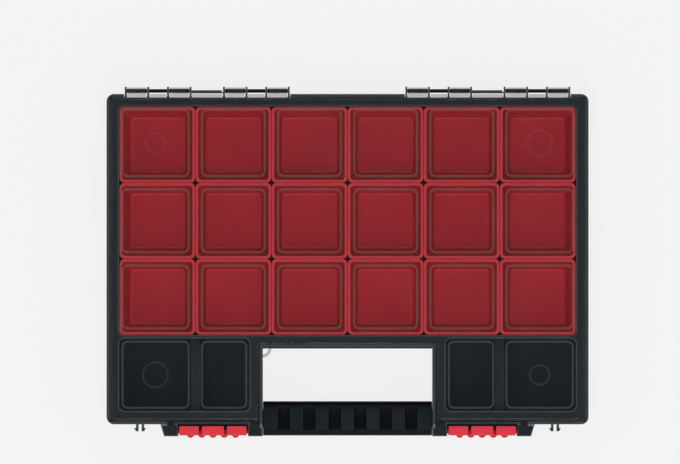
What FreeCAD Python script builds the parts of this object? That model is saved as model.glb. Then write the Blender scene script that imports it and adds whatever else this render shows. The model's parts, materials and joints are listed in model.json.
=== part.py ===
import FreeCAD, Part
import math
import os

import Sketcher

# Compartment case for small parts: a black tray, a clear hinged lid, loose bins,
# two front latches, four hinge pins and a carry handle.
# X runs left to right, Y from the handle (front) to the hinge (back), Z up.
# The origin is the middle of the case's footprint, at the feet.

columns = 6
rows = 3

# Driving dimensions in millimetres: alias, value, what it measures
sizes = [
    ("bin_pitch", 61.6, "bin to bin, both ways"),
    ("border", 10.2, "rim of the case beside and behind the bins"),
    ("partition", 2.8, "wall between the bins and the front pockets"),
    ("pocket_depth", 58.7, "front pockets, front to back"),
    ("front_border", 10.75, "rim of the case before the front pockets"),
    ("corner_radius", 6.0, "corners of the case's rim"),
    ("foot_height", 2.6, "stacking feet under the tray"),
    ("base_height", 43.4, "tray, from its underside to its rim"),
    ("floor", 2.0, "tray's floor"),
    ("deck", 2.0, "top of the tray's hollow rim"),
    ("skirt", 2.0, "tray's outer wall"),
    ("inner_wall", 1.6, "walls of the bin well and of the pockets"),
    ("flange_overhang", 2.8, "how far the rim stands out past the outer wall"),
    ("flange_height", 2.6, "edge of the tray's rim"),
    ("well_radius", 4.5, "corners of the bin well and of the pockets"),
    ("ridge_width", 9.4, "low divider between two front pockets"),
    ("ridge_drop", 9.0, "how far the divider stays below the rim"),
    ("ridge_round", 3.0, "round along the divider's top"),
    ("hand_width", 137.6, "hand opening, between the cheeks"),
    ("hand_border", 11.0, "strip between the bins and the hand opening"),
    ("cheek", 10.55, "wall between a pocket and the hand opening"),
    ("inner_boss", 11.7, "block between the handle and a latch"),
    ("outer_boss", 14.0, "block on the far side of a latch"),
    ("boss_slant", 2.9, "taper of that block's outer side"),
    ("boss_reach", 9.75, "how far the blocks stand out at the front"),
    ("post_width", 3.6, "locating post between four bins"),
    ("post_height", 27.0, "locating post"),
    ("bin_gap", 0.4, "gap between the rims of two bins"),
    ("bin_seat_gap", 0.2, "gap under a bin"),
    ("bin_height", 40.0, "bin"),
    ("bin_foot", 48.0, "bin's underside, across"),
    ("bin_collar", 8.5, "straight upper part of a bin"),
    ("bin_lip", 0.8, "how far a bin's lip stands out"),
    ("bin_lip_height", 2.0, "bin's lip"),
    ("bin_wall", 1.3, "bin's wall"),
    ("bin_floor", 1.4, "bin's floor"),
    ("bin_radius", 4.0, "corners of a bin's rim"),
    ("bin_floor_fillet", 2.4, "round between a bin's floor and walls"),
    ("bin_play", 4.0, "how far a bin can rise under the closed lid"),
    ("lid_gap", 0.25, "gap between lid and tray"),
    ("lid_height", 11.0, "lid, without its stacking rings"),
    ("lid_flange", 2.0, "lid's edge"),
    ("lid_wall", 2.0, "lid's top and sides"),
    ("lid_round", 2.6, "round along the lid's upper edge"),
    ("rib_thickness", 1.6, "ribs under the lid"),
    ("rib_gap", 0.5, "between the ribs and a raised bin"),
    ("rib_inset_outer", 2.7, "rib's middle to the bin's edge, beside the border"),
    ("rib_inset_inner", 5.4, "rib's middle to the bin's edge, between bins"),
    ("rib_inset_pocket", 2.6, "rib's middle to a front pocket's edge"),
    ("rib_radius", 4.2, "corners of a rib loop"),
    ("bridge_rib_height", 2.2, "short ribs between the bins and the pockets"),
    ("ring_height", 2.0, "stacking rings on the lid"),
    ("ring_wall", 1.7, "stacking rings"),
    ("ring_small", 8.75, "outer radius of the small stacking ring"),
    ("ring_clearance", 0.55, "between a small ring and the large ring round it"),
    ("eyelet_outer", 7.2, "tag eyelet at the hand opening, outer radius"),
    ("eyelet_inner", 4.6, "tag eyelet, hole radius"),
    ("hinge_setback", 2.5, "hinge axis behind the case's rim"),
    ("hinge_outer", 179.5, "outermost hinge ear, from the middle"),
    ("hinge_group", 79.5, "hinge to hinge on one side"),
    ("knuckle_span", 18.2, "ear to ear round a knuckle"),
    ("bare_span", 16.0, "ear to ear along the bare pin"),
    ("ear_radius", 3.4, "hinge ears"),
    ("ear_thickness", 1.6, "hinge ears"),
    ("ear_web_drop", 9.0, "how far an ear's root runs down the tray"),
    ("ear_gap", 0.5, "between an ear and the lid"),
    ("knuckle_radius", 2.8, "lid's knuckles"),
    ("pin_radius", 1.5, "hinge pins"),
    ("pin_clearance", 0.08, "radial, pin in a knuckle or an ear"),
    ("tie_radius", 1.3, "bar that ties two hinges"),
    ("tie_setback", 0.7, "that bar before the hinge axis"),
    ("latch_recess", 56.9, "room for a latch between its blocks"),
    ("latch_side_gap", 1.3, "on each side of a latch"),
    ("latch_reach", 11.1, "latch's finger ribs past the case's rim"),
    ("latch_depth", 7.65, "latch's head, front to back"),
    ("latch_plate", 2.6, "latch's plate"),
    ("latch_head", 4.2, "height of a latch's head"),
    ("latch_rise", 4.6, "top of a latch above the tray's rim"),
    ("latch_clearance", 0.4, "between a latch and the lid's lip"),
    ("latch_slot", 2.4, "slots in a latch's head"),
    ("latch_slot_spacing", 20.2, "slot to slot"),
    ("latch_slot_depth", 9.0, "slots, from the top down"),
    ("latch_hem", 4.0, "latch below its pivot"),
    ("latch_edge_round", 0.9, "round along the latch's outer edges"),
    ("pivot_height", 11.0, "latch's pivot above the feet"),
    ("trunnion_radius", 2.5, "latch's round pivots"),
    ("trunnion_length", 2.6, "latch's round pivots"),
    ("trunnion_clearance", 0.08, "radial, pivot in its socket"),
    ("trunnion_end_gap", 0.6, "beyond a pivot's end"),
    ("grip_rib_depth", 2.05, "latch's finger ribs, past its face"),
    ("grip_rib_radius", 3.2, "finger ribs"),
    ("grip_rib_pitch", 9.1, "finger rib to finger rib"),
    ("grip_rib_height", 14.0, "finger ribs"),
    ("handle_inset", 0.4, "handle behind the front of the blocks"),
    ("handle_depth", 27.7, "handle, front to back"),
    ("handle_height", 24.0, "handle, top to bottom"),
    ("handle_middle", 25.0, "handle's middle above the feet"),
    ("handle_round", 9.0, "handle's long edges"),
    ("handle_end_gap", 0.3, "at each end of the handle"),
    ("scoop_radius", 19.0, "finger scoops in the handle"),
    ("scoop_depth", 4.6, "finger scoops"),
    ("scoop_width", 10.0, "finger scoops"),
    ("scoop_pitch", 20.6, "scoop to scoop"),
    ("tongue_length", 6.0, "handle's tongues in the cheeks"),
    ("tongue_width", 14.0, "tongues, front to back"),
    ("tongue_height", 13.0, "tongues"),
    ("tongue_gap", 0.2, "round a tongue"),
    ("prong_from_side", 27.0, "snap prongs, from the case's side"),
    ("prong_reach", 5.8, "prongs past the case's rim"),
    ("prong_leg", 2.0, "one leg of a prong"),
    ("prong_gap", 2.5, "between the two legs"),
    ("prong_barb", 1.45, "barb on a leg"),
    ("prong_barb_length", 2.6, "barb on a leg"),
    ("prong_height", 8.0, "prongs"),
    ("prong_drop", 4.0, "prongs below the tray's rim"),
]

scoop_count = 6
grip_rib_count = 5
past = "1"  # millimetres that a cut runs on beyond the face where it starts or ends
touch = 0.001  # millimetres within which two places are the same

doc = FreeCAD.newDocument("compartment_case")
sheet = doc.addObject("Spreadsheet::Sheet", "dims")
for row, (alias, number, note) in enumerate(sizes, start=1):
    sheet.set(f"A{row}", note)
    sheet.set(f"B{row}", str(number))
    sheet.setAlias(f"B{row}", alias)
doc.recompute()

# Places worked out from the sheet, as expressions
half_width = f"({columns} * dims.bin_pitch / 2 + dims.border)"
case_depth = (f"(dims.border + {rows} * dims.bin_pitch + dims.partition"
              " + dims.pocket_depth + dims.front_border)")
back_edge = f"(({case_depth} + dims.latch_reach - dims.ear_radius - dims.hinge_setback) / 2)"
front_edge = f"({back_edge} - {case_depth})"
array_back = f"({back_edge} - dims.border)"
array_front = f"({array_back} - {rows} * dims.bin_pitch)"
pocket_back = f"({array_front} - dims.partition)"
pocket_front = f"({pocket_back} - dims.pocket_depth)"
pocket_outer = f"({half_width} - dims.border)"
pocket_inner = "(dims.hand_width / 2 + dims.cheek)"
divider_x = f"({half_width} - dims.border - dims.bin_pitch)"
hand_half = "(dims.hand_width / 2)"
hand_back = f"({array_front} - dims.hand_border)"
boss_front = f"({front_edge} - dims.boss_reach)"
wall_front = f"({front_edge} + dims.flange_overhang)"
wall_back = f"({back_edge} - dims.flange_overhang)"
wall_half = f"({half_width} - dims.flange_overhang)"
deck_top = "(dims.foot_height + dims.base_height)"
floor_top = "(dims.foot_height + dims.floor)"
deck_low = f"({deck_top} - dims.deck)"
bin_low = f"({floor_top} + dims.bin_seat_gap)"
bin_top = f"({bin_low} + dims.bin_height)"
lid_low = f"({deck_top} + dims.lid_gap)"
lid_top = f"({lid_low} + dims.lid_height)"
lid_ceiling = f"({lid_top} - dims.lid_wall)"
lid_step = f"({lid_low} + dims.lid_flange)"
hinge_y = f"({back_edge} + dims.hinge_setback)"
hinge_z = deck_top
hinge_length = "(2 * dims.knuckle_span + dims.bare_span)"
ear_clear = "(dims.ear_thickness / 2 + dims.ear_gap)"
latch_inner = f"({hand_half} + dims.inner_boss + dims.latch_side_gap)"
latch_outer = f"({hand_half} + dims.inner_boss + dims.latch_recess - dims.latch_side_gap)"
latch_middle = f"(({latch_inner} + {latch_outer}) / 2)"
latch_tip = f"({front_edge} - dims.latch_reach)"
latch_face = f"({latch_tip} + dims.grip_rib_depth)"
latch_back = f"({latch_face} + dims.latch_depth)"
latch_top = f"({deck_top} + dims.latch_rise)"
pivot_y = f"({latch_face} + dims.trunnion_radius + dims.latch_edge_round)"
handle_front = f"({boss_front} + dims.handle_inset)"
handle_back = f"({handle_front} + dims.handle_depth)"
handle_y = f"(({handle_front} + {handle_back}) / 2)"
ring_large = "(dims.ring_small + dims.ring_clearance + dims.ring_wall)"


def value(expression):
    return float(sheet.evalExpression(expression.replace("dims.", "")))


# Free sketch on a level plane at height offset, or on an upright plane across X at x = offset
def new_sketch(name, offset, upright_plane=False):
    sketch = doc.addObject("Sketcher::SketchObject", name)
    if upright_plane:
        turn = FreeCAD.Rotation(FreeCAD.Vector(1, 1, 1), 120)
        sketch.Placement = FreeCAD.Placement(FreeCAD.Vector(), turn)
        sketch.setExpression("Placement.Base.x", offset)
    else:
        sketch.setExpression("Placement.Base.z", offset)
    return sketch


def bind(sketch, kind, geometry, point, expression):
    if kind == "Radius":
        constraint = Sketcher.Constraint(kind, geometry, value(expression))
    else:
        constraint = Sketcher.Constraint(kind, -1, 1, geometry, point, value(expression))
    index = sketch.addConstraint(constraint)
    sketch.setExpression(f"Constraints[{index}]", expression)


def line(x_start, y_start, x_end, y_end):
    return Part.LineSegment(FreeCAD.Vector(x_start, y_start, 0), FreeCAD.Vector(x_end, y_end, 0))


def arc(x, y, radius, start_degrees):
    circle = Part.Circle(FreeCAD.Vector(x, y, 0), FreeCAD.Vector(0, 0, 1), radius)
    start = math.radians(start_degrees)
    return Part.ArcOfCircle(circle, start, start + math.pi / 2)


def polygon(sketch, points):
    places = [(value(x), value(y)) for x, y in points]
    count = len(points)
    for index in range(count):
        x_start, y_start = places[index]
        x_end, y_end = places[(index + 1) % count]
        sketch.addGeometry(line(x_start, y_start, x_end, y_end))
    for index in range(count):
        sketch.addConstraint(Sketcher.Constraint("Coincident", index, 2, (index + 1) % count, 1))
    for index, (x, y) in enumerate(points):
        bind(sketch, "DistanceX", index, 1, x)
        bind(sketch, "DistanceY", index, 1, y)


# Rectangle with round corners
def rectangle(sketch, left, right, low, high, radius):
    first = sketch.GeometryCount
    x_low, x_high, y_low, y_high = value(left), value(right), value(low), value(high)
    r = value(radius)
    sketch.addGeometry(line(x_low + r, y_low, x_high - r, y_low))
    sketch.addGeometry(line(x_high, y_low + r, x_high, y_high - r))
    sketch.addGeometry(line(x_high - r, y_high, x_low + r, y_high))
    sketch.addGeometry(line(x_low, y_high - r, x_low, y_low + r))
    sketch.addGeometry(arc(x_high - r, y_low + r, r, 270))
    sketch.addGeometry(arc(x_high - r, y_high - r, r, 0))
    sketch.addGeometry(arc(x_low + r, y_high - r, r, 90))
    sketch.addGeometry(arc(x_low + r, y_low + r, r, 180))
    for side in range(4):
        corner = first + 4 + side
        following = first + (side + 1) % 4
        sketch.addConstraint(Sketcher.Constraint("Tangent", first + side, 2, corner, 1))
        sketch.addConstraint(Sketcher.Constraint("Tangent", corner, 2, following, 1))
        turn = "Horizontal" if side % 2 == 0 else "Vertical"
        sketch.addConstraint(Sketcher.Constraint(turn, first + side))
        if side > 0:
            sketch.addConstraint(Sketcher.Constraint("Equal", first + 4, corner))
    bind(sketch, "DistanceY", first, 1, low)
    bind(sketch, "DistanceX", first + 1, 1, right)
    bind(sketch, "DistanceY", first + 2, 1, high)
    bind(sketch, "DistanceX", first + 3, 1, left)
    bind(sketch, "Radius", first + 4, 0, radius)


def extrude(name, sketch, length):
    solid = doc.addObject("Part::Extrusion", name)
    solid.Base = sketch
    solid.DirMode = "Normal"
    solid.Solid = True
    solid.setExpression("LengthFwd", length)
    return solid


def place(item, x, y, z):
    item.setExpression("Placement.Base.x", x)
    item.setExpression("Placement.Base.y", y)
    item.setExpression("Placement.Base.z", z)


# Plain upright block; sides are its left, right, front and back
def block(name, sides, z_low, z_high):
    left, right, front, back = sides
    solid = doc.addObject("Part::Box", name)
    solid.setExpression("Length", f"({right}) - ({left})")
    solid.setExpression("Width", f"({back}) - ({front})")
    solid.setExpression("Height", f"({z_high}) - ({z_low})")
    place(solid, left, front, z_low)
    return solid


# Upright block with round corners
def round_block(name, sides, z_low, z_high, radius):
    sketch = new_sketch(name + "_outline", z_low)
    rectangle(sketch, *sides, radius)
    return extrude(name, sketch, f"({z_high}) - ({z_low})")


# Upright wall along a round-cornered loop, given by its middle line
def loop_wall(name, sides, z_low, z_high, radius, thickness):
    half = f"{thickness} / 2"
    sketch = new_sketch(name + "_outline", z_low)
    rectangle(sketch, *grown(sides, half), f"{radius} + {half}")
    rectangle(sketch, *grown(sides, f"(-{half})"), f"{radius} - {half}")
    return extrude(name, sketch, f"({z_high}) - ({z_low})")


# Upright block with a free outline
def slab(name, points, z_low, z_high):
    sketch = new_sketch(name + "_outline", z_low)
    polygon(sketch, points)
    return extrude(name, sketch, f"({z_high}) - ({z_low})")


def upright(name, x, y, z_low, z_high, radius):
    solid = doc.addObject("Part::Cylinder", name)
    solid.setExpression("Radius", radius)
    solid.setExpression("Height", f"({z_high}) - ({z_low})")
    place(solid, x, y, z_low)
    return solid


def ring(name, x, y, z_low, z_high, radius, bore):
    return cut(name, upright(name + "_disc", x, y, z_low, z_high, radius),
               [upright(name + "_bore", x, y, f"({z_low}) - {past}", f"({z_high}) + {past}", bore)])


# Cylinder that lies along X
def crossbar(name, x_low, x_high, y, z, radius):
    solid = doc.addObject("Part::Cylinder", name)
    solid.setExpression("Radius", radius)
    solid.setExpression("Height", f"({x_high}) - ({x_low})")
    turn = FreeCAD.Rotation(FreeCAD.Vector(0, 1, 0), 90)
    solid.Placement = FreeCAD.Placement(FreeCAD.Vector(), turn)
    place(solid, x_low, y, z)
    return solid


def fuse(name, solids):
    joined = doc.addObject("Part::MultiFuse", name)
    joined.Shapes = solids
    return joined


def cut(name, solid, tools):
    result = doc.addObject("Part::Cut", name)
    result.Base = solid
    result.Tool = tools[0] if len(tools) == 1 else fuse(name + "_tools", tools)
    return result


# Picks the edges that lie level at one height
def level_edges(height):
    level = value(height)
    return lambda edge: all(abs(vertex.Z - level) < touch for vertex in edge.Vertexes)


def round_edges(name, solid, radius, wanted):
    doc.recompute()
    edges = [index for index, edge in enumerate(solid.Shape.Edges, start=1) if wanted(edge)]
    fillet = doc.addObject("Part::Fillet", name)
    fillet.Base = solid
    fillet.Edges = [(index, value(radius), value(radius)) for index in edges]
    return fillet


# The two X limits of something on the left (-1) or right (+1), low end first
def span(side, inner, outer):
    if side > 0:
        return inner, outer
    return f"-({outer})", f"-({inner})"


def signed(side, expression):
    return expression if side > 0 else f"-({expression})"


def grown(sides, amount):
    left, right, front, back = sides
    return f"{left} - {amount}", f"{right} + {amount}", f"{front} - {amount}", f"{back} + {amount}"


side_names = {-1: "left", 1: "right"}
case_sides = (f"-{half_width}", half_width, front_edge, back_edge)
wall_sides = (f"-{wall_half}", wall_half, wall_front, wall_back)
well_sides = (f"-{pocket_outer} - dims.bin_gap / 2", f"{pocket_outer} + dims.bin_gap / 2",
              f"{array_front} - dims.bin_gap / 2", f"{array_back} + dims.bin_gap / 2")


# Middle line of the lid's rib loop over one bin
def rib_sides(column, row):
    left = f"(-{pocket_outer} + {column} * dims.bin_pitch)"
    back = f"({array_back} - {row} * dims.bin_pitch)"
    left_inset = "dims.rib_inset_outer" if column == 0 else "dims.rib_inset_inner"
    right_inset = "dims.rib_inset_outer" if column == columns - 1 else "dims.rib_inset_inner"
    back_inset = "dims.rib_inset_outer" if row == 0 else "dims.rib_inset_inner"
    return (f"({left} + {left_inset})", f"({left} + dims.bin_pitch - {right_inset})",
            f"({back} - dims.bin_pitch + dims.rib_inset_inner)", f"({back} - {back_inset})")


# Front loops of the lid: a wide one at the case's side and a narrow one at the cheek
def pocket_rib_sides(side):
    wide_left, wide_right = rib_sides(0, 0)[:2]
    narrow_left = rib_sides(1, 0)[0]
    wide = span(side, f"-{wide_right}", f"-{wide_left}")
    narrow = span(side, f"({pocket_inner} + dims.rib_inset_pocket)", f"-{narrow_left}")
    front = f"({pocket_front} + dims.rib_inset_pocket)"
    back = f"({pocket_back} - dims.rib_inset_pocket)"
    return [(*wide, front, back), (*narrow, front, back)]


# Stacking ring places: middle of the corner bins' rib loops and of the wide front loops
def ring_places():
    left, right, front, back = rib_sides(0, 0)
    x = f"(-({left} + {right}) / 2)"
    y_back = f"(({front} + {back}) / 2)"
    y_front = f"(({pocket_front} + {pocket_back}) / 2)"
    return [("rear_left", signed(-1, x), y_back, True), ("rear_right", x, y_back, False),
            ("front_left", signed(-1, x), y_front, False), ("front_right", x, y_front, True)]


hinge_names = ["left_outer", "left_inner", "right_inner", "right_outer"]


# Left end of each of the four hinges
def hinge_start(group):
    starts = ["-dims.hinge_outer", "-dims.hinge_outer + dims.hinge_group",
              f"dims.hinge_outer - dims.hinge_group - {hinge_length}", f"dims.hinge_outer - {hinge_length}"]
    return f"({starts[group]})"


def hinge_ears(group):
    steps = ["0", "dims.knuckle_span", "dims.knuckle_span + dims.bare_span", hinge_length]
    return [f"({hinge_start(group)} + {step})" for step in steps]


def make_tray():
    rim = round_block("rim", case_sides, f"{deck_top} - dims.flange_height", deck_top, "dims.corner_radius")
    wall = round_block("outer_wall", wall_sides, "dims.foot_height", deck_top,
                       "dims.corner_radius - dims.skirt / 2")
    hollow = round_block("underside", grown(wall_sides, "(-dims.skirt)"), f"dims.foot_height - {past}",
                         deck_low, "dims.corner_radius - dims.skirt")
    shell = cut("shell", fuse("shell_block", [rim, wall]), [hollow])
    boxes = fuse("tray_boxes", [shell] + boss_solids() + well_boxes() + hand_walls())
    opened = cut("tray_opened", boxes, well_cuts() + hand_cuts() + hinge_zones())
    feet = [ring(f"foot_{name}", x, y, "0", "dims.foot_height + dims.floor / 2",
                 ring_large if small_above else "dims.ring_small",
                 f"{ring_large if small_above else 'dims.ring_small'} - dims.ring_wall")
            for name, x, y, small_above in ring_places()]
    fitted = fuse("tray_fitted", [opened] + dividers() + posts() + ear_solids() + prongs() + feet)
    tray = cut("base_tray", fitted, pin_holes() + latch_sockets())
    tray.Label = "base_tray"
    return tray


def boss_solids():
    solids = []
    for side in (-1, 1):
        name = side_names[side]
        start = f"({hand_half} + dims.inner_boss + dims.latch_recess)"
        end = f"({start} + dims.outer_boss)"
        root = f"({wall_front} + dims.skirt / 2)"
        points = [(signed(side, start), boss_front),
                  (signed(side, f"{end} - dims.boss_slant"), boss_front),
                  (signed(side, end), front_edge),
                  (signed(side, end), root),
                  (signed(side, start), root)]
        solids.append(slab(f"outer_boss_{name}", points, "dims.foot_height", deck_top))
        inner = span(side, hand_half, f"{hand_half} + dims.inner_boss")
        solids.append(block(f"inner_boss_{name}", (*inner, boss_front, root), "dims.foot_height", deck_top))
    return solids


def well_boxes():
    solids = [round_block("well_box", grown(well_sides, "dims.inner_wall"), "dims.foot_height", deck_top,
                          "dims.well_radius + dims.inner_wall")]
    for side in (-1, 1):
        across = span(side, f"{pocket_inner} - dims.inner_wall", f"{pocket_outer} + dims.inner_wall")
        sides = (*across, f"{pocket_front} - dims.inner_wall", f"{pocket_back} + dims.partition / 2")
        solids.append(block(f"pocket_box_{side_names[side]}", sides, "dims.foot_height", deck_top))
    return solids


def well_cuts():
    above = f"{deck_top} + {past}"
    solids = [round_block("bin_well", well_sides, floor_top, above, "dims.well_radius")]
    for side in (-1, 1):
        sides = (*span(side, pocket_inner, pocket_outer), pocket_front, pocket_back)
        solids.append(round_block(f"front_pocket_{side_names[side]}", sides, floor_top, above,
                                  "dims.well_radius"))
    return solids


# Low walls that split each front pocket in two
def dividers():
    solids = []
    top = f"({deck_top} - dims.ridge_drop)"
    at_top = level_edges(top)
    along = value("dims.pocket_depth")
    for side in (-1, 1):
        across = span(side, f"{divider_x} - dims.ridge_width / 2", f"{divider_x} + dims.ridge_width / 2")
        sides = (*across, f"{pocket_front} - dims.inner_wall / 2", f"{pocket_back} + dims.partition / 2")
        ridge = block(f"divider_block_{side_names[side]}", sides, "dims.foot_height", top)
        solids.append(round_edges(f"pocket_divider_{side_names[side]}", ridge, "dims.ridge_round",
                                  lambda edge: at_top(edge) and edge.BoundBox.YLength > along))
    return solids


def hand_walls():
    strip_back = f"{hand_back} + dims.skirt"
    strip = (f"-{hand_half} - dims.skirt", f"{hand_half} + dims.skirt", hand_back, strip_back)
    solids = [block("hand_back_wall", strip, "dims.foot_height", deck_top)]
    for side in (-1, 1):
        sides = (*span(side, hand_half, f"{hand_half} + dims.skirt"), boss_front, strip_back)
        solids.append(block(f"cheek_wall_{side_names[side]}", sides, "dims.foot_height", deck_top))
    return solids


def hand_cuts():
    notch = (f"-{hand_half}", hand_half, f"{boss_front} - {past}", hand_back)
    solids = [block("hand_opening", notch, f"dims.foot_height - {past}", f"{deck_top} + {past}")]
    half = "(dims.tongue_width / 2 + dims.tongue_gap)"
    rise = "(dims.tongue_height / 2 + dims.tongue_gap)"
    for side in (-1, 1):
        window = span(side, f"{hand_half} - {past}", f"{hand_half} + dims.tongue_length + dims.tongue_gap")
        sides = (*window, f"{handle_y} - {half}", f"{handle_y} + {half}")
        solids.append(block(f"handle_socket_{side_names[side]}", sides, f"dims.handle_middle - {rise}",
                            f"dims.handle_middle + {rise}"))
    return solids


# Square posts that keep four neighbouring bins in place
def posts():
    solids = []
    half = "dims.post_width / 2"
    for column in range(1, columns):
        for row in range(1, rows):
            x = f"(-{pocket_outer} + {column} * dims.bin_pitch)"
            y = f"({array_back} - {row} * dims.bin_pitch)"
            sides = (f"{x} - {half}", f"{x} + {half}", f"{y} - {half}", f"{y} + {half}")
            solids.append(block(f"post_c{column}_r{row}", sides, f"{floor_top} - dims.floor / 2",
                                f"{floor_top} + dims.post_height"))
    return solids


# The rim is cut back to the outer wall where the hinges are
def hinge_zones():
    solids = []
    for side in (-1, 1):
        first = hinge_ears(0 if side < 0 else 2)[0]
        last = hinge_ears(1 if side < 0 else 3)[-1]
        zone = (f"{first} - {ear_clear}", f"{last} + {ear_clear}", wall_back, f"{back_edge} + {past}")
        solids.append(block(f"hinge_zone_{side_names[side]}", zone, f"dims.foot_height - {past}",
                            f"{deck_top} + {past}"))
    return solids


def ear_solids():
    solids = []
    half = "dims.ear_thickness / 2"
    for group in range(4):
        for index, x in enumerate(hinge_ears(group), start=1):
            name = f"ear_{hinge_names[group]}_{index}"
            root = (f"{x} - {half}", f"{x} + {half}", f"{wall_back} - dims.skirt / 2", hinge_y)
            solids.append(block(name + "_root", root, f"{hinge_z} - dims.ear_web_drop",
                                f"{deck_top} - dims.lid_gap"))
            solids.append(crossbar(name, f"{x} - {half}", f"{x} + {half}", hinge_y, hinge_z,
                                   "dims.ear_radius"))
    for side in (-1, 1):
        tie = (hinge_ears(0 if side < 0 else 2)[-1], hinge_ears(1 if side < 0 else 3)[0])
        solids.append(crossbar(f"hinge_tie_{side_names[side]}", *tie, f"{hinge_y} - dims.tie_setback",
                               hinge_z, "dims.tie_radius"))
    return solids


def pin_holes():
    solids = []
    for group in range(4):
        ends = (f"{hinge_start(group)} - dims.ear_thickness / 2 - {past}",
                f"{hinge_start(group)} + {hinge_length} + dims.ear_thickness / 2")
        solids.append(crossbar(f"pin_hole_{hinge_names[group]}", *ends, hinge_y, hinge_z,
                               "dims.pin_radius + dims.pin_clearance"))
    return solids


def latch_sockets():
    depth = "(dims.trunnion_length - dims.latch_side_gap + dims.trunnion_end_gap)"
    solids = []
    for side in (-1, 1):
        inner = f"({latch_inner} - dims.latch_side_gap)"
        outer = f"({latch_outer} + dims.latch_side_gap)"
        across = span(side, f"{inner} - {depth}", f"{outer} + {depth}")
        solids.append(crossbar(f"latch_socket_{side_names[side]}", *across, pivot_y, "dims.pivot_height",
                               "dims.trunnion_radius + dims.trunnion_clearance"))
    return solids


def prongs():
    solids = []
    middle = f"({half_width} - dims.prong_from_side)"
    tip = f"({front_edge} - dims.prong_reach)"
    root = f"({wall_front} + dims.skirt / 2)"
    barb_start = f"({tip} + dims.prong_barb_length)"
    top = f"({deck_top} - dims.prong_drop)"
    for side in (-1, 1):
        for leg in (-1, 1):
            near = f"({middle} + {leg} * dims.prong_gap / 2)"
            far = f"({near} + {leg} * dims.prong_leg)"
            barb = f"({far} + {leg} * dims.prong_barb)"
            outline = [(near, root), (far, root), (far, barb_start), (barb, barb_start),
                       (far, tip), (near, tip)]
            points = [(signed(side, x), y) for x, y in outline]
            name = f"prong_{side_names[side]}_{'inner' if leg < 0 else 'outer'}"
            solids.append(slab(name, points, f"{top} - dims.prong_height", top))
    return solids


def make_lid():
    front = f"{front_edge} - {past}"
    low = f"{lid_low} - {past}"
    edge_notch = (f"-{hand_half}", hand_half, front, hand_back)
    edge_block = round_block("lid_edge_block", case_sides, lid_low, lid_step, "dims.corner_radius")
    edge = cut("lid_edge", edge_block, [block("lid_edge_notch", edge_notch, low, f"{lid_step} + {past}")])
    dome_notch = (f"-{hand_half} - dims.flange_overhang", f"{hand_half} + dims.flange_overhang",
                  front, f"{hand_back} + dims.flange_overhang")
    dome_block = round_block("lid_dome_block", wall_sides, lid_low, lid_top,
                             "dims.corner_radius - dims.lid_wall / 2")
    dome_open = cut("lid_dome_open", dome_block,
                    [block("lid_dome_notch", dome_notch, low, f"{lid_top} + {past}")])
    dome = round_edges("lid_dome", dome_open, "dims.lid_round", level_edges(lid_top))
    eyelet = ring("tag_eyelet", f"-{hand_half}", hand_back, lid_low, lid_step,
                  "dims.eyelet_outer", "dims.eyelet_inner")
    shell = cut("lid_shell", fuse("lid_block", [edge, dome, eyelet]), lid_insides() + ear_slots())
    rings = [ring(f"stack_ring_{name}", x, y, f"{lid_top} - dims.lid_wall / 2",
                  f"{lid_top} + dims.ring_height", "dims.ring_small" if small else ring_large,
                  f"{'dims.ring_small' if small else ring_large} - dims.ring_wall")
             for name, x, y, small in ring_places()]
    fitted = fuse("lid_fitted", [shell] + ribs() + knuckles() + latch_lips() + rings)
    lid = cut("lid", fitted, knuckle_bores())
    lid.Label = "lid"
    return lid


def lid_insides():
    inner_half = f"({wall_half} - dims.lid_wall)"
    inner_back = f"({wall_back} - dims.lid_wall)"
    inner_front = f"({wall_front} + dims.lid_wall)"
    beside_hand = f"({hand_half} + dims.flange_overhang + dims.lid_wall)"
    behind_hand = f"({hand_back} + dims.flange_overhang + dims.lid_wall)"
    radius = "(dims.corner_radius - dims.lid_wall)"
    below = f"{lid_low} - {past}"
    solids = [round_block("lid_inside", (f"-{inner_half}", inner_half, behind_hand, inner_back), below,
                          lid_ceiling, radius)]
    for side in (-1, 1):
        leg = (*span(side, beside_hand, inner_half), inner_front, f"{behind_hand} + 3 * {radius}")
        solids.append(round_block(f"lid_leg_{side_names[side]}", leg, below, lid_ceiling, radius))
    return solids


def latch_lips():
    lip = f"{latch_back} + dims.latch_clearance"
    return [block(f"latch_lip_{side_names[side]}", (*span(side, latch_inner, latch_outer), lip, wall_front),
                  lid_low, lid_step) for side in (-1, 1)]


def ribs():
    rib_low = f"({bin_top} + dims.bin_play + dims.rib_gap)"
    rib_high = f"({lid_ceiling} + dims.lid_wall / 2)"
    solids = []
    for column in range(columns):
        for row in range(rows):
            solids.append(loop_wall(f"rib_c{column + 1}_r{row + 1}", rib_sides(column, row),
                                    rib_low, rib_high, "dims.rib_radius", "dims.rib_thickness"))
    thin = "dims.rib_thickness / 2"
    for side in (-1, 1):
        for index, sides in enumerate(pocket_rib_sides(side), start=1):
            solids.append(loop_wall(f"pocket_rib_{side_names[side]}_{index}", sides, rib_low, rib_high,
                                    "dims.rib_radius", "dims.rib_thickness"))
        for index, x in enumerate(rib_sides(0, 0)[:2], start=1):
            middle = signed(side, f"-{x}")
            bridge = (f"{middle} - {thin}", f"{middle} + {thin}", pocket_rib_sides(side)[0][3],
                      rib_sides(0, rows - 1)[2])
            solids.append(block(f"bridge_rib_{side_names[side]}_{index}", bridge,
                                f"{lid_ceiling} - dims.bridge_rib_height", rib_high))
    return solids


def ear_slots():
    solids = []
    front = f"{hinge_y} - dims.ear_radius - dims.ear_gap"
    for group in range(4):
        for index, x in enumerate(hinge_ears(group), start=1):
            slot = (f"{x} - {ear_clear}", f"{x} + {ear_clear}", front, f"{back_edge} + {past}")
            solids.append(block(f"ear_slot_{hinge_names[group]}_{index}", slot, f"{lid_low} - {past}",
                                f"{lid_step} + {past}"))
    return solids


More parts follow.
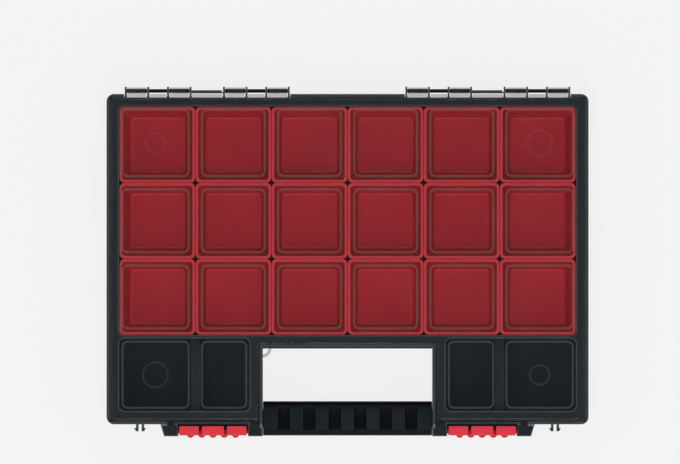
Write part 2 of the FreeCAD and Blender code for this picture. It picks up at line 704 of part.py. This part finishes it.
# The lid's knuckles sit between the first and second and between the third and fourth ears
def knuckle_ends(group):
    ears = hinge_ears(group)
    return [(f"{start} + {ear_clear}", f"{end} - {ear_clear}") for start, end in (ears[:2], ears[2:])]


def knuckles():
    solids = []
    for group in range(4):
        for index, ends in enumerate(knuckle_ends(group), start=1):
            name = f"knuckle_{hinge_names[group]}_{index}"
            arm = (*ends, f"{back_edge} - dims.flange_overhang / 2", f"{hinge_y} - dims.pin_radius")
            solids.append(block(name + "_arm", arm, lid_low, lid_step))
            solids.append(crossbar(name, *ends, hinge_y, hinge_z, "dims.knuckle_radius"))
    return solids


def knuckle_bores():
    solids = []
    bore = "dims.pin_radius + dims.pin_clearance"
    for group in range(4):
        for index, (start, end) in enumerate(knuckle_ends(group), start=1):
            ends = (f"{start} - dims.ear_gap / 2", f"{end} + dims.ear_gap / 2")
            solids.append(crossbar(f"knuckle_bore_{hinge_names[group]}_{index}", *ends,
                                   hinge_y, hinge_z, bore))
    return solids


def new_square(body, name, width, radius, height):
    sketch = body.newObject("Sketcher::SketchObject", name)
    level = [feature for feature in body.Origin.OriginFeatures if feature.Role == "XY_Plane"][0]
    sketch.AttachmentSupport = [(level, "")]
    sketch.MapMode = "FlatFace"
    sketch.setExpression("AttachmentOffset.Base.z", height)
    half = f"({width}) / 2"
    rectangle(sketch, f"-{half}", half, f"-{half}", half, radius)
    return sketch


def add_feature(body, kind, name, profile):
    feature = body.newObject(f"PartDesign::{kind}", name)
    feature.Profile = profile
    return feature


# Rounds the edges of a body that lie level at one height
def add_round(body, name, base, radius, height):
    doc.recompute()
    wanted = level_edges(height)
    edges = [f"Edge{index}" for index, edge in enumerate(base.Shape.Edges, start=1) if wanted(edge)]
    fillet = body.newObject("PartDesign::Fillet", name)
    fillet.Base = (base, edges)
    fillet.setExpression("Radius", radius)


def make_bin(column, row):
    label = f"bin_r{row + 1}_c{column + 1}"
    body = doc.addObject("PartDesign::Body", label)
    body.Label = label
    rim = "(dims.bin_pitch - dims.bin_gap)"
    collar = f"({rim} - 2 * dims.bin_lip)"
    collar_radius = "(dims.bin_radius - dims.bin_lip)"
    mouth = f"({collar} - 2 * dims.bin_wall)"
    mouth_radius = f"({collar_radius} - dims.bin_wall / 2)"
    foot_inside = "(dims.bin_foot - 2 * dims.bin_wall)"
    shoulder = "(dims.bin_height - dims.bin_collar)"
    outer_foot = new_square(body, "foot_outline", "dims.bin_foot", "dims.bin_radius", "0")
    outer_shoulder = new_square(body, "shoulder_outline", collar, collar_radius, shoulder)
    taper = add_feature(body, "AdditiveLoft", "taper", outer_foot)
    taper.Sections = [outer_shoulder]
    taper.Ruled = True
    collar_outline = new_square(body, "collar_outline", collar, collar_radius, shoulder)
    upper = add_feature(body, "Pad", "collar", collar_outline)
    upper.setExpression("Length", "dims.bin_collar")
    lip_low = "dims.bin_height - dims.bin_lip_height"
    lip = add_feature(body, "Pad", "lip", new_square(body, "lip_outline", rim, "dims.bin_radius", lip_low))
    lip.setExpression("Length", "dims.bin_lip_height")
    floor = new_square(body, "floor_outline", foot_inside, "dims.bin_radius - dims.bin_wall / 2",
                       "dims.bin_floor")
    inner_shoulder = new_square(body, "inner_shoulder_outline", mouth, mouth_radius, shoulder)
    hollow = add_feature(body, "SubtractiveLoft", "hollow", floor)
    hollow.Sections = [inner_shoulder]
    hollow.Ruled = True
    mouth_outline = new_square(body, "mouth_outline", mouth, mouth_radius, shoulder)
    opening = add_feature(body, "Pocket", "mouth", mouth_outline)
    opening.Reversed = True
    opening.setExpression("Length", f"dims.bin_collar + {past}")
    add_round(body, "floor_round", opening, "dims.bin_floor_fillet", "dims.bin_floor")
    place(body, f"-{pocket_outer} + {column + 0.5} * dims.bin_pitch",
          f"{array_back} - {row + 0.5} * dims.bin_pitch", bin_low)
    return body


def make_latch(side):
    name = side_names[side]
    across = span(side, latch_inner, latch_outer)
    plate_sides = (*across, latch_face, f"{latch_face} + dims.latch_plate")
    plate = block(f"plate_{name}", plate_sides, "dims.pivot_height - dims.latch_hem", latch_top)
    head_sides = (*across, latch_face, latch_back)
    head = block(f"head_{name}", head_sides, f"{latch_top} - dims.latch_head", latch_top)
    barrel = crossbar(f"barrel_{name}", *across, pivot_y, "dims.pivot_height",
                      "dims.trunnion_radius + dims.latch_edge_round")
    at_top = level_edges(latch_top)
    depth = value("dims.latch_depth")
    joined = fuse(f"latch_block_{name}", [plate, head, barrel])
    joined.Refine = True
    rounded = round_edges(f"latch_rounded_{name}", joined, "dims.latch_edge_round",
                          lambda edge: at_top(edge) and edge.BoundBox.XLength > depth)
    trunnion_ends = span(side, f"{latch_inner} - dims.trunnion_length",
                         f"{latch_outer} + dims.trunnion_length")
    trunnion = crossbar(f"trunnion_{name}", *trunnion_ends, pivot_y, "dims.pivot_height",
                        "dims.trunnion_radius")
    rib_high = f"({latch_top} - dims.latch_slot_depth - dims.latch_edge_round)"
    grip = []
    for index in range(grip_rib_count):
        x = signed(side, f"({latch_middle} + {index - (grip_rib_count - 1) / 2} * dims.grip_rib_pitch)")
        grip.append(upright(f"grip_rib_{name}_{index + 1}", x, f"{latch_tip} + dims.grip_rib_radius",
                            f"{rib_high} - dims.grip_rib_height", rib_high, "dims.grip_rib_radius"))
    slots = []
    for index, step in enumerate((-1, 1), start=1):
        middle = signed(side, f"({latch_middle} + {step} * dims.latch_slot_spacing / 2)")
        slot = (f"{middle} - dims.latch_slot / 2", f"{middle} + dims.latch_slot / 2",
                f"{latch_face} - {past}", f"{latch_back} + {past}")
        slots.append(block(f"slot_{name}_{index}", slot, f"{latch_top} - dims.latch_slot_depth",
                           f"{latch_top} + {past}"))
    latch = cut(f"latch_{name}", fuse(f"latch_fitted_{name}", [rounded, trunnion] + grip), slots)
    latch.Label = f"latch_{name}"
    return latch


def make_handle():
    end = f"({hand_half} - dims.handle_end_gap)"
    low = "(dims.handle_middle - dims.handle_height / 2)"
    high = "(dims.handle_middle + dims.handle_height / 2)"
    sketch = new_sketch("bar_outline", f"-{end}", True)
    rectangle(sketch, handle_front, handle_back, low, high, "dims.handle_round")
    bar = extrude("bar", sketch, f"2 * {end}")
    reach = f"({hand_half} + dims.tongue_length)"
    tongue_sides = (f"-{reach}", reach,
                    f"{handle_y} - dims.tongue_width / 2", f"{handle_y} + dims.tongue_width / 2")
    tongues = block("tongues", tongue_sides, "dims.handle_middle - dims.tongue_height / 2",
                    "dims.handle_middle + dims.tongue_height / 2")
    scoops = []
    scoop_z = f"{high} - dims.scoop_depth + dims.scoop_radius"
    for index in range(scoop_count):
        x = f"({index - (scoop_count - 1) / 2} * dims.scoop_pitch)"
        ends = (f"{x} - dims.scoop_width / 2", f"{x} + dims.scoop_width / 2")
        scoops.append(crossbar(f"scoop_{index + 1}", *ends, handle_y, scoop_z, "dims.scoop_radius"))
    handle = cut("carry_handle", fuse("handle_block", [bar, tongues]), scoops)
    handle.Label = "carry_handle"
    return handle


def make_pin(group):
    ends = (f"{hinge_start(group)} - dims.ear_thickness / 2",
            f"{hinge_start(group)} + {hinge_length} + dims.ear_thickness / 2")
    pin = crossbar(f"hinge_pin_{hinge_names[group]}", *ends, hinge_y, hinge_z, "dims.pin_radius")
    pin.Label = f"hinge_pin_{hinge_names[group]}"
    return pin


pieces = [make_tray(), make_lid(), make_handle()]
pieces += [make_latch(side) for side in (-1, 1)]
pieces += [make_pin(group) for group in range(4)]
pieces += [make_bin(column, row) for row in range(rows) for column in range(columns)]
doc.recompute()

for item in doc.Objects:
    if "Invalid" in item.State or "Error" in item.State:
        raise RuntimeError(f"{item.Name} failed: {item.State}")
for piece in pieces:
    if piece.Shape.isNull() or not piece.Shape.isValid():
        raise RuntimeError(f"{piece.Label} has no valid shape")
    if len(piece.Shape.Solids) != 1:
        raise RuntimeError(f"{piece.Label} has {len(piece.Shape.Solids)} solids")

os.makedirs("parts", exist_ok=True)
for piece in pieces:
    piece.Shape.exportStep(f"parts/{piece.Label}.step")
    box = piece.Shape.BoundBox
    corners = (box.XMin, box.XMax, box.YMin, box.YMax, box.ZMin, box.ZMax)
    places = " ".join(f"{corner:.2f}" for corner in corners)
    print(f"{piece.Label}: {piece.Shape.Volume / 1000:.2f} cm3, x y z from and to {places}")
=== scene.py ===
import json
import math

import bmesh
import bpy
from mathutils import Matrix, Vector


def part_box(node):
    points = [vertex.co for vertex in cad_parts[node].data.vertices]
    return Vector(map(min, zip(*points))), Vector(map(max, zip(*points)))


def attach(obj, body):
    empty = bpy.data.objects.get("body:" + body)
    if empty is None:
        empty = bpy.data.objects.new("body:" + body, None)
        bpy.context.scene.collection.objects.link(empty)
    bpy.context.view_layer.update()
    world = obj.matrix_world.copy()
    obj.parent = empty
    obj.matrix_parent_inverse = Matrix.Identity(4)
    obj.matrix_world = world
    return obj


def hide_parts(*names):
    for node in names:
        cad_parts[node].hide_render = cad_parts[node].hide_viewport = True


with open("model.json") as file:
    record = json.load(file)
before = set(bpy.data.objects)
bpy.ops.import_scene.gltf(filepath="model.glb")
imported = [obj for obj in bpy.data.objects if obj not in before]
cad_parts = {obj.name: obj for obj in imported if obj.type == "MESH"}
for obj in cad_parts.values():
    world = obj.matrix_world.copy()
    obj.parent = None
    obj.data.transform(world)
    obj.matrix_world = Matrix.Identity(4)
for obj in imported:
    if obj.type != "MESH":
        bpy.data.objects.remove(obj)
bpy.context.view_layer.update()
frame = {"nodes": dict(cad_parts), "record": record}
nodes = frame["nodes"]
mm = 0.001
print("frame loaded:", len(nodes), "nodes")

binNames = sorted(name for name in nodes if name.startswith("bin_"))
pinNames = sorted(name for name in nodes if name.startswith("hinge_pin_"))
latchNames = ["latch_left", "latch_right"]
bodyOf = {name: body for body, names in frame["record"]["behaviour"]["bodies"].items() for name in names}


# Shader helpers

noiseLook = {
    "roughness": 0.55,
    "detail": 3.0,
    "span": (0.3, 0.7),   # where most values of a noise lie
}


def newMaterial(name):
    material = bpy.data.materials.new(name)
    material.use_nodes = True
    tree = material.node_tree
    place = tree.nodes.new("ShaderNodeTexCoord")
    return material, tree, tree.nodes["Principled BSDF"], place.outputs["Object"]


# Link what feeds a socket, or set its value
def plug(tree, socket, value):
    if hasattr(value, "is_linked"):
        tree.links.new(value, socket)
    elif isinstance(value, tuple):
        socket.default_value = (*value, 1.0)
    else:
        socket.default_value = value


def along(tree, place, axis):
    split = tree.nodes.new("ShaderNodeSeparateXYZ")
    tree.links.new(place, split.inputs["Vector"])
    return split.outputs[axis]


def maths(tree, operation, *values):
    node = tree.nodes.new("ShaderNodeMath")
    node.operation = operation
    for socket, value in zip(node.inputs, values):
        plug(tree, socket, value)
    return node.outputs[0]


def between(tree, value, low, high):
    return maths(tree, "COMPARE", value, (low + high) / 2, (high - low) / 2)


def mapRange(tree, value, fromLow, fromHigh, toLow, toHigh):
    node = tree.nodes.new("ShaderNodeMapRange")
    names = ("Value", "From Min", "From Max", "To Min", "To Max")
    for name, setting in zip(names, (value, fromLow, fromHigh, toLow, toHigh)):
        plug(tree, node.inputs[name], setting)
    return node.outputs["Result"]


def noise(tree, place, scale, detail=noiseLook["detail"]):
    node = tree.nodes.new("ShaderNodeTexNoise")
    names = ("Vector", "Scale", "Detail", "Roughness")
    for name, setting in zip(names, (place, scale, detail, noiseLook["roughness"])):
        plug(tree, node.inputs[name], setting)
    return node.outputs["Fac"]


def ramp(tree, factor, positions, colours):
    node = tree.nodes.new("ShaderNodeValToRGB")
    for element, position, colour in zip(node.color_ramp.elements, positions, colours):
        element.position = position
        element.color = (*colour, 1.0)
    tree.links.new(factor, node.inputs["Fac"])
    return node.outputs["Color"]


def mixColour(tree, factor, first, second):
    node = tree.nodes.new("ShaderNodeMix")
    node.data_type = "RGBA"
    sockets = {socket.name: socket for socket in node.inputs if socket.enabled}
    for name, value in (("Factor", factor), ("A", first), ("B", second)):
        plug(tree, sockets[name], value)
    return [socket for socket in node.outputs if socket.enabled][0]


def mixShaders(tree, factor, first, second):
    node = tree.nodes.new("ShaderNodeMixShader")
    for socket, value in zip(node.inputs, (factor, first, second)):
        tree.links.new(value, socket)
    tree.links.new(node.outputs[0], tree.nodes["Material Output"].inputs["Surface"])


# Moulded plastic: a mottled colour, painted highlights on edges, painted shade in hollows and a fine grain

mouldLook = {
    "mottleStops": (0.30, 0.72),
    "mottleDetail": 5.0,
    "highlightOpen": (0.98, 0.68),     # openness where a painted highlight on an edge starts, and where it is full
    "hollowShadeOpen": (0.15, 0.75),   # openness where the painted shade in a hollow is darkest, and where it ends
    "grainDetail": 4.0,
    "samples": 6,
}


def openness(tree, reach, inside):
    node = tree.nodes.new("ShaderNodeAmbientOcclusion")
    node.samples = mouldLook["samples"]
    node.only_local = True
    node.inside = inside
    node.inputs["Distance"].default_value = reach
    return node.outputs["AO"]


def borderMask(tree, place, look):
    aside = maths(tree, "ABSOLUTE", along(tree, place, "X"))
    depth = along(tree, place, "Y")
    around = 0.0
    for inner, outer, front, back in look["bands"].values():
        band = maths(tree, "MULTIPLY", between(tree, aside, inner * mm, outer * mm),
                     between(tree, depth, front * mm, back * mm))
        around = maths(tree, "MAXIMUM", around, band)
    return maths(tree, "MULTIPLY", around, between(tree, along(tree, place, "Z"), *look["height"]))


def mouldedColour(tree, place, look):
    mottle = noise(tree, place, look["mottleScale"], mouldLook["mottleDetail"])
    colour = ramp(tree, mottle, mouldLook["mottleStops"], (look["dark"], look["light"]))
    if "top" in look:  # painted shade below the top band (the handle's finger scoops), or a rim with its own colour
        bandLow = look["top"] - look["topBand"]
        nearTop = mapRange(tree, along(tree, place, "Z"), bandLow, look["top"], 0.0, 1.0)
        colour = mixColour(tree, nearTop, look.get("shadeBelowTop", colour), look.get("rim", colour))
    # painted highlight along the rim's border
    if "border" in look:
        border = look["border"]
        colour = mixColour(tree, borderMask(tree, place, border), colour, border["colour"])
    # painted highlight: a lighter colour on convex edges, found by ambient occlusion inside the piece
    edgeHighlight = mapRange(tree, openness(tree, look["highlightReach"], True), *mouldLook["highlightOpen"],
                      0.0, look["highlightShare"])
    colour = mixColour(tree, edgeHighlight, colour, look["edge"])
    # painted shade: the colour goes toward black in hollows and corners of the piece
    unshaded = mapRange(tree, openness(tree, look["hollowShadeReach"], False), *mouldLook["hollowShadeOpen"],
                       look["hollowShadeKeep"], 1.0)
    return mixColour(tree, unshaded, (0.0, 0.0, 0.0), colour)


def grain(tree, place, look):
    bump = tree.nodes.new("ShaderNodeBump")
    bump.inputs["Strength"].default_value = 1.0
    bump.inputs["Distance"].default_value = look["grainDepth"]
    tree.links.new(noise(tree, place, look["grainScale"], mouldLook["grainDetail"]), bump.inputs["Height"])
    if "softEdge" in look:
        soft = tree.nodes.new("ShaderNodeBevel")
        soft.samples = mouldLook["samples"]
        soft.inputs["Radius"].default_value = look["softEdge"]
        tree.links.new(soft.outputs["Normal"], bump.inputs["Normal"])
    return bump.outputs["Normal"]


def mouldedPlastic(name, look):
    material, tree, shader, place = newMaterial(name)
    shine = noise(tree, place, look["glossScale"])
    roughness = mapRange(tree, shine, *noiseLook["span"], *look["roughness"])
    plug(tree, shader.inputs["Base Color"], mouldedColour(tree, place, look))
    plug(tree, shader.inputs["Roughness"], roughness)
    plug(tree, shader.inputs["Normal"], grain(tree, place, look))
    shader.inputs["Specular IOR Level"].default_value = look["specular"]
    return material


# Dressing: a piece is its CAD node, or a merged copy with its sharp edges rounded

roundLook = {
    "merge": 0.002 * mm,
    "flatWithin": math.radians(0.6),    # faces that are this flat become one
    "smoothWithin": math.radians(30),
    "roundFrom": math.radians(40),
    "segments": 2,
}


def addObject(name, data):
    item = bpy.data.objects.new(name, data)
    bpy.context.scene.collection.objects.link(item)
    return item


def roundedCopy(name, radius):
    source = nodes[name]
    shape = bmesh.new()
    shape.from_mesh(source.data)
    shape.transform(source.matrix_world)
    bmesh.ops.remove_doubles(shape, verts=shape.verts, dist=roundLook["merge"])
    bmesh.ops.dissolve_limit(shape, angle_limit=roundLook["flatWithin"], verts=shape.verts,
                             edges=shape.edges)
    mesh = bpy.data.meshes.new(name + "_rounded")
    shape.to_mesh(mesh)
    shape.free()
    for face in mesh.polygons:
        face.use_smooth = True
    mesh.set_sharp_from_angle(angle=roundLook["smoothWithin"])
    piece = addObject(name + "_rounded", mesh)
    edges = piece.modifiers.new("roundEdges", "BEVEL")
    edges.width = radius
    edges.segments = roundLook["segments"]
    edges.limit_method = "ANGLE"
    edges.angle_limit = roundLook["roundFrom"]
    edges.use_clamp_overlap = False
    edges.harden_normals = True
    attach(piece, bodyOf[name])
    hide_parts(name)
    return piece


def dress(names, material, rounding=None):
    for name in names:
        piece = nodes[name] if rounding is None else roundedCopy(name, rounding)
        piece.data.materials.clear()
        piece.data.materials.append(material)


# Black pieces: the tray, the sills behind the latches, the handle and the hinge pins

blackLook = {
    "dark": (0.0058, 0.0100, 0.0126),
    "light": (0.0090, 0.0142, 0.0176),
    "softEdge": 1.0 * mm,
    # colour of the painted highlights on edges
    "edge": (0.075, 0.083, 0.088),
    "highlightReach": 1.3 * mm,
    "highlightShare": 0.85,
    # reach and strength of the painted shade in hollows
    "hollowShadeReach": 4.0 * mm,
    "hollowShadeKeep": 0.45,
    "mottleScale": 28.0,
    "glossScale": 168.0,
    "roughness": (0.44, 0.56),
    "specular": 0.22,
    "grainScale": 2600.0,
    "grainDepth": 0.04 * mm,
}

# Painted highlight on the soft border of the rim, where it would catch light all round
borderLook = {
    "colour": (0.125, 0.140, 0.147),
    "height": (40.0 * mm, 47.0 * mm),
    "bands": {                        # from the middle to either side, and from front to back, in mm
        "sides": (192.7, 197.0, -145.0, 145.0),
        "back": (0.0, 197.0, 134.1, 137.6),
        "front": (146.0, 197.0, -132.4, -128.9),
        "overLatches": (79.0, 140.0, -131.4, -129.4),
        "besideHand": (68.9, 70.9, -134.0, -66.7),
        "behindHand": (0.0, 70.9, -68.7, -66.7),
    },
}

trayLook = dict(blackLook, border=borderLook)
trayBlack = mouldedPlastic("trayBlack", trayLook)
dress(["base_tray"], trayBlack)

# Sill at the foot of the front wall, behind and below each latch
sillLook = {
    "length": 59.4 * mm,
    "back": -130.6 * mm,
    "front": -139.0 * mm,
    "bottom": 0.6 * mm,
    "top": 3.4 * mm,
    "edge": 0.6 * mm,
}


def addSill(name, latch):
    low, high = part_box(latch)
    size = (sillLook["length"], sillLook["back"] - sillLook["front"], sillLook["top"] - sillLook["bottom"])
    middle = ((low.x + high.x) / 2, (sillLook["back"] + sillLook["front"]) / 2,
              (sillLook["top"] + sillLook["bottom"]) / 2)
    shape = bmesh.new()
    bmesh.ops.create_cube(shape, size=1.0)
    bmesh.ops.scale(shape, vec=size, verts=shape.verts)
    bmesh.ops.translate(shape, vec=middle, verts=shape.verts)
    bmesh.ops.bevel(shape, geom=shape.edges[:], offset=sillLook["edge"], affect="EDGES", segments=2,
                    profile=0.5, material=-1)
    mesh = bpy.data.meshes.new(name)
    shape.to_mesh(mesh)
    shape.free()
    mesh.materials.append(trayBlack)
    sill = addObject(name, mesh)
    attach(sill, "base")


for latch in latchNames:
    addSill(latch.replace("latch", "latch_sill"), latch)

handleLook = dict(
    blackLook,
    shadeBelowTop=(0.0010, 0.0018, 0.0024),    # painted shade on the floors of the finger scoops
    top=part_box("carry_handle")[1].z,
    topBand=3.4 * mm,
    # weaker painted highlights on the handle's edges
    highlightReach=0.8 * mm,
    highlightShare=0.25,
    # strong painted shade in the finger scoops
    hollowShadeReach=9.0 * mm,
    hollowShadeKeep=0.1,
    roughness=(0.55, 0.66),
    specular=0.10,
    rounding=0.5 * mm,
)
dress(["carry_handle"], mouldedPlastic("handleBlack", handleLook), handleLook["rounding"])

pinLook = dict(
    blackLook,
    dark=(0.0035, 0.0045, 0.0052),
    light=(0.0060, 0.0070, 0.0080),
    highlightShare=0.0,
    specular=0.08,
)
dress(pinNames, mouldedPlastic("pinBlack", pinLook))
print("black pieces dressed")


# Red pieces: the bins and the latches

binLook = {
    "dark": (0.385, 0.0165, 0.0270),
    "light": (0.435, 0.0205, 0.0320),
    "rim": (0.420, 0.0180, 0.0285),
    "top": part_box(binNames[0])[1].z,
    "topBand": 1.6 * mm,
    # colour of the painted highlights on the rim edges
    "edge": (0.74, 0.125, 0.140),
    "highlightReach": 0.6 * mm,
    "highlightShare": 0.8,
    # light painted shade in the bins' corners
    "hollowShadeReach": 5.0 * mm,
    "hollowShadeKeep": 0.9,
    "mottleScale": 22.0,
    "glossScale": 154.0,
    "roughness": (0.38, 0.50),
    "specular": 0.30,
    "grainScale": 2200.0,
    "grainDepth": 0.03 * mm,
    "rounding": 0.35 * mm,
}
dress(binNames, mouldedPlastic("binRed", binLook), binLook["rounding"])

latchLook = {
    "dark": (0.60, 0.028, 0.044),
    "light": (0.68, 0.034, 0.052),
    # colour of the painted highlights on the latch edges
    "edge": (0.74, 0.06, 0.085),
    "highlightReach": 0.6 * mm,
    "highlightShare": 0.4,
    # painted shade in the latch slots
    "hollowShadeReach": 3.0 * mm,
    "hollowShadeKeep": 0.12,
    "mottleScale": 30.0,
    "glossScale": 210.0,
    "roughness": (0.30, 0.40),
    "specular": 0.30,
    "grainScale": 2400.0,
    "grainDepth": 0.02 * mm,
    "rounding": 0.35 * mm,
}
dress(latchNames, mouldedPlastic("latchRed", latchLook), latchLook["rounding"])
print("red pieces dressed")


# Clear lid: it mirrors a little, greys where its edge and its ribs are, and has painted shade on its
# knuckles along the pin

trayTop = 46.0 * mm  # the tray's rim, which the lid's edge lies on

lidLook = {
    "haze": (0.115, 0.130, 0.130),
    "hazeLight": (0.175, 0.195, 0.195),
    "hazeStops": (0.3, 0.75),
    "hazeScale": 9.0,
    "hazeDetail": 4.0,
    "edgeTint": (0.015, 0.020, 0.023),
    # colour of the painted shade on the knuckles, as dark as the pin inside them
    "boreShadeColour": (0.004, 0.005, 0.006),
    "ribTint": (0.14, 0.156, 0.115),          # over the bins
    "pocketRibTint": (0.105, 0.122, 0.125),   # over the front pockets
    "plain": (0.0096, 0.0144),                # cover of the flat faces
    "plainScale": 15.0,
    "edge": 0.25,                             # cover of the lid's edge
    "bore": 0.80,                             # cover of the painted shade on the knuckles along the pin
    "rib": 0.33,                              # cover of the rib ends
    "ring": 0.09,                             # cover of the stacking rings
    "edgeSpan": (-4.0 * mm, 2.35 * mm),       # heights above the tray's rim
    "ribSpan": (3.0 * mm, 3.6 * mm),
    "ringSpan": (12.9 * mm, 13.6 * mm),
    "boreSpan": (137.0 * mm, 140.4 * mm),     # places from front to back
    "pocketSpan": (-126.0 * mm, -60.2 * mm),
    "roughness": 0.35,
    "specular": 0.1,
    "gloss": 0.06,
    "mirror": (0.017, 0.30),                  # straight on, and along the face
    "steepness": 5.0,
}


def clearPlastic(name, look):
    material, tree, shader, place = newMaterial(name)
    depth = along(tree, place, "Y")
    height = along(tree, place, "Z")
    edge, rib, ring = (between(tree, height, trayTop + low, trayTop + high)
                       for low, high in (look["edgeSpan"], look["ribSpan"], look["ringSpan"]))
    bore = between(tree, depth, *look["boreSpan"])
    pocket = between(tree, depth, *look["pocketSpan"])

    haze = noise(tree, place, look["hazeScale"], look["hazeDetail"])
    tint = ramp(tree, haze, look["hazeStops"], (look["haze"], look["hazeLight"]))
    tint = mixColour(tree, edge, tint, look["edgeTint"])
    # painted shade: a dark band on the knuckles along the pin
    tint = mixColour(tree, bore, tint, look["boreShadeColour"])
    ribTint = mixColour(tree, pocket, look["ribTint"], look["pocketRibTint"])
    plug(tree, shader.inputs["Base Color"], mixColour(tree, rib, tint, ribTint))
    shader.inputs["Roughness"].default_value = look["roughness"]
    shader.inputs["Specular IOR Level"].default_value = look["specular"]

    cover = mapRange(tree, noise(tree, place, look["plainScale"]), *noiseLook["span"], *look["plain"])
    for mask, share in ((edge, "edge"), (bore, "bore"), (rib, "rib"), (ring, "ring")):
        cover = maths(tree, "MULTIPLY_ADD", mask, look[share], cover)
    plug(tree, shader.inputs["Alpha"], cover)

    mirror = tree.nodes.new("ShaderNodeBsdfGlossy")
    mirror.inputs["Roughness"].default_value = look["gloss"]
    slant = tree.nodes.new("ShaderNodeLayerWeight")  # alike on both sides of a wall, unlike Fresnel
    slant.inputs["Blend"].default_value = 0.5
    steep = maths(tree, "POWER", slant.outputs["Facing"], look["steepness"])
    mirrored = mapRange(tree, steep, 0.0, 1.0, *look["mirror"])
    mixShaders(tree, mirrored, shader.outputs[0], mirror.outputs[0])
    return material


dress(["lid"], clearPlastic("lidClear", lidLook))
print("lid dressed")


# Floor, light and camera

studio = {
    "floorSize": 40.0,
    "paper": 0.896,             # what the background shows
    "paperKeep": 0.93,          # share of the background that is plain
    "paperRoughness": 0.9,
    "around": 0.42,             # the room at eye height
    "above": 0.07,              # the room straight above, where the camera is
    "aboveFrom": (0.55, 0.97),  # upward part of a direction where the room darkens
    "lampSize": 0.9,
    "lamps": {                  # place and power
        "frontLamp": ((0.0, -1.3, 1.55), 11.0),
        "backLamp": ((0.0, 1.3, 1.55), 6.5),
        "leftLamp": ((-1.3, 0.0, 1.55), 4.0),
        "rightLamp": ((1.3, 0.0, 1.55), 4.0),
        "topLamp": ((0.0, -0.35, 2.1), 16.0),
    },
    "unmirrored": ["topLamp"],  # lights the floors of the bins without a reflection in the lid
}

shape = bmesh.new()
bmesh.ops.create_grid(shape, x_segments=1, y_segments=1, size=studio["floorSize"] / 2)
floorMesh = bpy.data.meshes.new("floor")
shape.to_mesh(floorMesh)
shape.free()
floor = addObject("floor", floorMesh)

paper, tree, shader, place = newMaterial("paper")
paperColour = (studio["paper"],) * 3
plug(tree, shader.inputs["Base Color"], paperColour)
shader.inputs["Roughness"].default_value = studio["paperRoughness"]
shader.inputs["Specular IOR Level"].default_value = 0.0
glow = tree.nodes.new("ShaderNodeEmission")
plug(tree, glow.inputs["Color"], paperColour)
path = tree.nodes.new("ShaderNodeLightPath")
seen = maths(tree, "MAXIMUM", path.outputs["Is Camera Ray"], path.outputs["Is Transmission Ray"])
mixShaders(tree, maths(tree, "MULTIPLY", seen, studio["paperKeep"]), shader.outputs[0], glow.outputs[0])
floorMesh.materials.append(paper)

world = bpy.data.worlds.new("studio")
bpy.context.scene.world = world
world.use_nodes = True
tree = world.node_tree
direction = tree.nodes.new("ShaderNodeTexCoord").outputs["Generated"]
upward = mapRange(tree, along(tree, direction, "Z"), *studio["aboveFrom"], 0.0, 1.0)
room = mixColour(tree, upward, (studio["around"],) * 3, (studio["above"],) * 3)
tree.links.new(room, tree.nodes["Background"].inputs["Color"])

for name, (spot, power) in studio["lamps"].items():
    lamp = bpy.data.lights.new(name, "AREA")
    lamp.shape = "SQUARE"
    lamp.size = studio["lampSize"]
    lamp.energy = power
    lampObject = addObject(name, lamp)
    lampObject.location = spot
    lampObject.visible_glossy = name not in studio["unmirrored"]
    lampObject.rotation_mode = "QUATERNION"
    lampObject.rotation_quaternion = (-Vector(spot)).to_track_quat("-Z", "Y")

# The photograph looks straight down with almost no perspective
cameraLook = {
    "imageSize": (680, 464),
    "scale": 0.8093 * mm,            # size of one pixel on the object
    "axisPixel": (347.55, 262.35),   # pixel over the part's origin
    "lens": 750.0,
    "sensor": 36.0,
    "clipEnd": 100.0,
}
wide, high = cameraLook["imageSize"]
viewWidth = wide * cameraLook["scale"]
centreX = (wide / 2 - cameraLook["axisPixel"][0]) * cameraLook["scale"]
centreY = (cameraLook["axisPixel"][1] - high / 2) * cameraLook["scale"]
distance = viewWidth * cameraLook["lens"] / cameraLook["sensor"]
cameraData = bpy.data.cameras.new("camera")
cameraData.lens = cameraLook["lens"]
cameraData.sensor_width = cameraLook["sensor"]
cameraData.clip_end = cameraLook["clipEnd"]
camera = addObject("camera", cameraData)
camera.location = (centreX, centreY, trayTop + distance)
bpy.context.scene.camera = camera
bpy.context.scene.view_settings.view_transform = "Standard"
print("stage, light and camera set")
